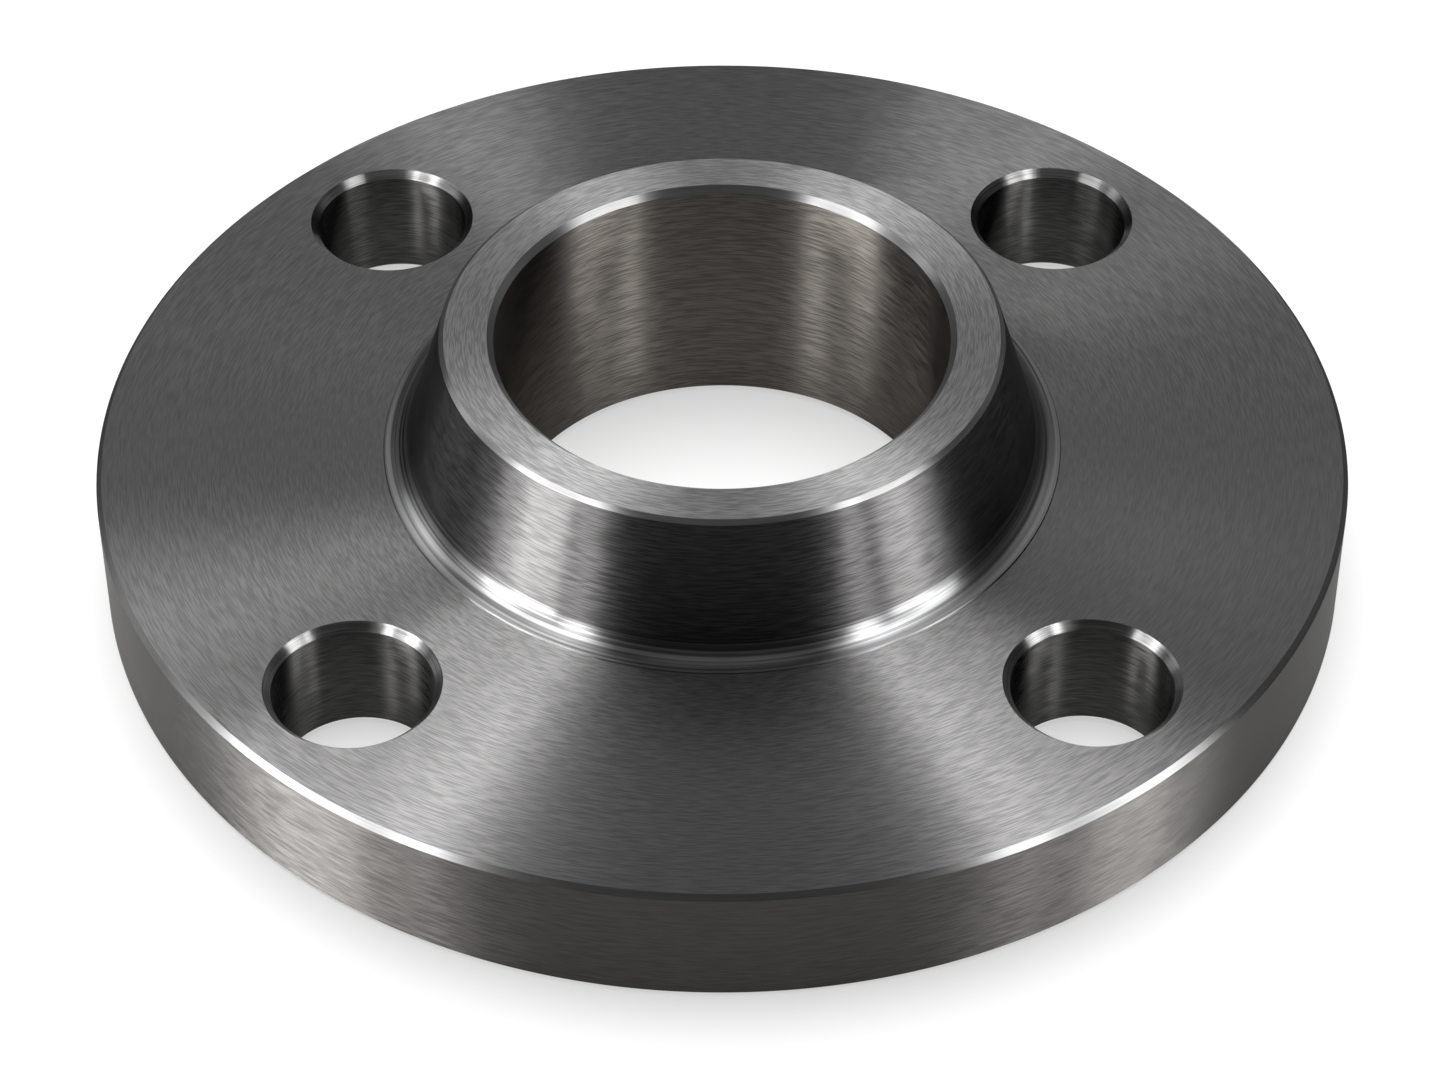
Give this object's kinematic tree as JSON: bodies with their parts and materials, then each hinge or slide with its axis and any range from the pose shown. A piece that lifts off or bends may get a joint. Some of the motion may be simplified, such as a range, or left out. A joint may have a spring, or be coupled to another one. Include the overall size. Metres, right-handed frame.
{
  "type": "pipe flange",
  "caption": "Round hubbed pipe flange in dark turned steel, with a straight through bore, a tapered hub and a ring of bolt holes.",
  "frame": {"origin": "centre of the bore on the gasket face, at the flange's underside", "axes": "+Z along the bore from the gasket face to the hub's end; +X and +Y lie midway between bolt holes"},
  "size_m": [0.1524, 0.1524, 0.033],
  "materials": {
    "turned_steel": "dark machined steel with fine concentric turning marks on every turned face"
  },
  "bodies": {
    "root": {"flange": "turned_steel"}
  },
  "joints": []
}
